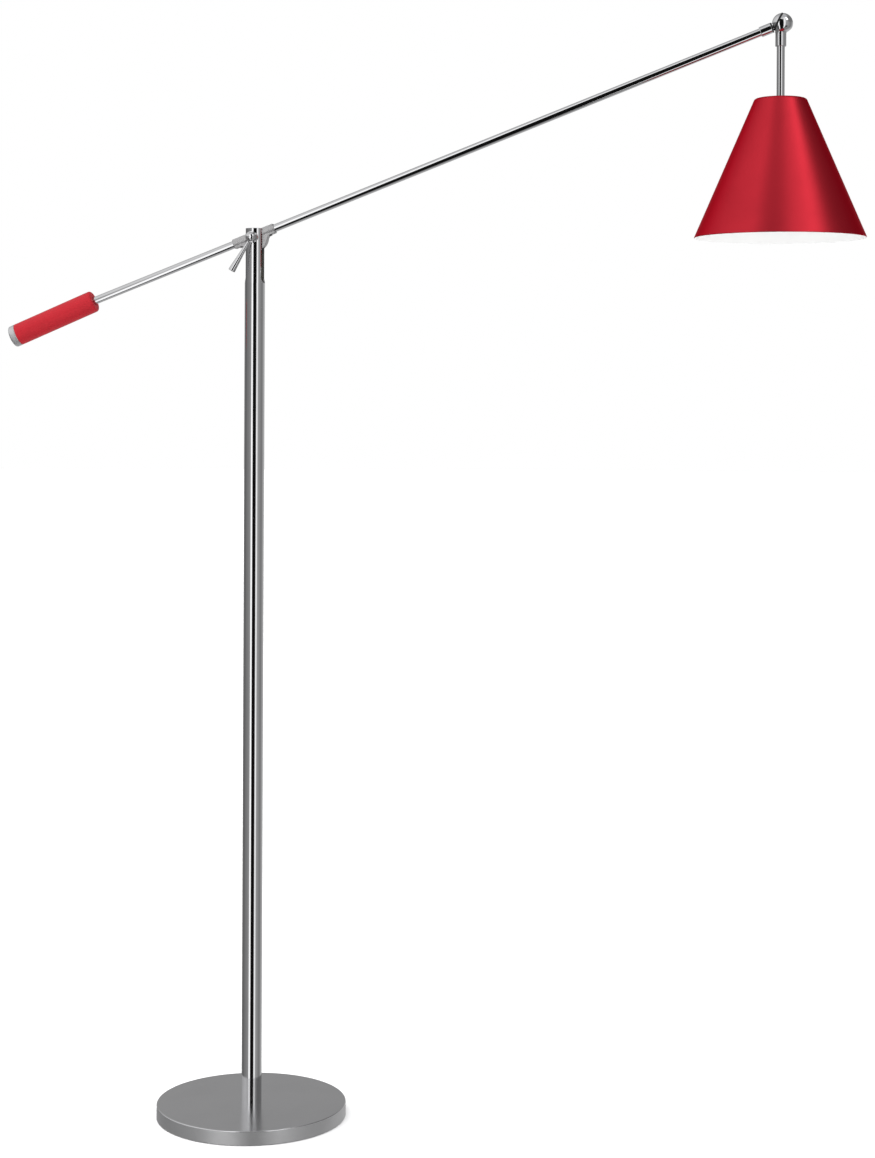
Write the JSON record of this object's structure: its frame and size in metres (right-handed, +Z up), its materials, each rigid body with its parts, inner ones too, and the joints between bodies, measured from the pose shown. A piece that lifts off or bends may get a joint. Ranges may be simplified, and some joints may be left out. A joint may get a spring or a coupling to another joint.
{
  "type": "adjustable arm floor lamp",
  "caption": "Floor lamp: weighted round base, slotted pole, tilting arm with a red counterweight, and a cone shade on a swivelling ball joint.",
  "frame": {"origin": "middle of the base's underside, where it stands on the floor", "axes": "+Z up along the pole; +X towards the shade, so the arm tilts in the XZ plane; the clamp lever is on the -Y side"},
  "size_m": [1.2774, 0.2818, 1.6168],
  "materials": {
    "chrome": "polished",
    "satin_casting": "satin",
    "red_lacquer": "satin",
    "red_paint": "satin",
    "iron": "matte",
    "rubber": "matte",
    "lead": "matte",
    "black_fibre": "matte",
    "nylon": "satin",
    "steel": "satin",
    "bronze": "satin",
    "brass": "satin",
    "holder_plastic": "satin",
    "porcelain": "satin",
    "cap_metal": "satin",
    "glass": "gloss"
  },
  "bodies": {
    "stand": {"base_cover": "chrome", "base_weight": "iron", "base_pad": "rubber", "base_nipple": "steel", "base_washer": "steel", "base_nut": "steel", "inlet_grommet": "rubber", "stand_wire": "lead", "pole": "chrome", "pole_plug": "steel", "cheek_spacers": "nylon", "saddle_washers": "chrome", "rear_cap_nut": "chrome"},
    "clamp": {"clamp_hub": "chrome", "clamp_lever": "chrome", "clamp_screw": "steel", "clamp_washer": "nylon"},
    "arm": {"pivot_block": "satin_casting", "pivot_bush": "bronze", "front_arm": "chrome", "rear_arm": "chrome", "grub_screws": "steel", "counterweight": "red_paint", "counterweight_cap": "chrome", "counterweight_stud": "steel", "counterweight_screw": "steel", "arm_wire": "lead", "arm_collar": "chrome", "roll_washer": "black_fibre"},
    "knuckle": {"knuckle_cap": "chrome", "spigot_clip": "steel", "swivel_washer": "black_fibre", "swivel_axle": "steel", "swivel_spring": "steel", "swivel_nut": "steel", "knuckle_wire": "lead"},
    "head": {"ball_housing": "chrome", "ball_plug": "chrome", "stem": "chrome", "stem_wire": "lead", "shade": "red_lacquer", "shade_nipple": "steel", "shade_washer": "steel", "shade_nut": "steel", "holder_cap": "holder_plastic", "holder_shell": "holder_plastic", "holder_core": "porcelain", "screw_shell": "brass", "centre_contact": "brass", "bulb_cap": "cap_metal", "bulb_glass": "glass"},
    "switch": {"switch_key": "holder_plastic"}
  },
  "joints": [
    {"name": "clamp_turn", "type": "hinge", "parent": "stand", "child": "clamp", "pos_m": [0, 0, 1.303], "axis": [0, -1, 0], "range_deg": [-15, 150]},
    {"name": "arm_tilt", "type": "hinge", "parent": "stand", "child": "arm", "pos_m": [0, 0, 1.303], "axis": [0, -1, 0], "range_deg": [-70, 49]},
    {"name": "head_roll", "type": "hinge", "parent": "arm", "child": "knuckle", "pos_m": [0.77379, 0, 1.60131], "axis": [0.9341, 0, 0.3569], "range_deg": [-165, 165]},
    {"name": "head_swivel", "type": "hinge", "parent": "knuckle", "child": "head", "pos_m": [0.77379, 0, 1.60131], "axis": [-0.9018, 0, 0.4321], "range_deg": [-165, 165]},
    {"name": "switch_turn", "type": "hinge", "parent": "head", "child": "switch", "pos_m": [0.77149, 0, 1.448], "axis": [-1, 0, 0], "continuous": true}
  ]
}
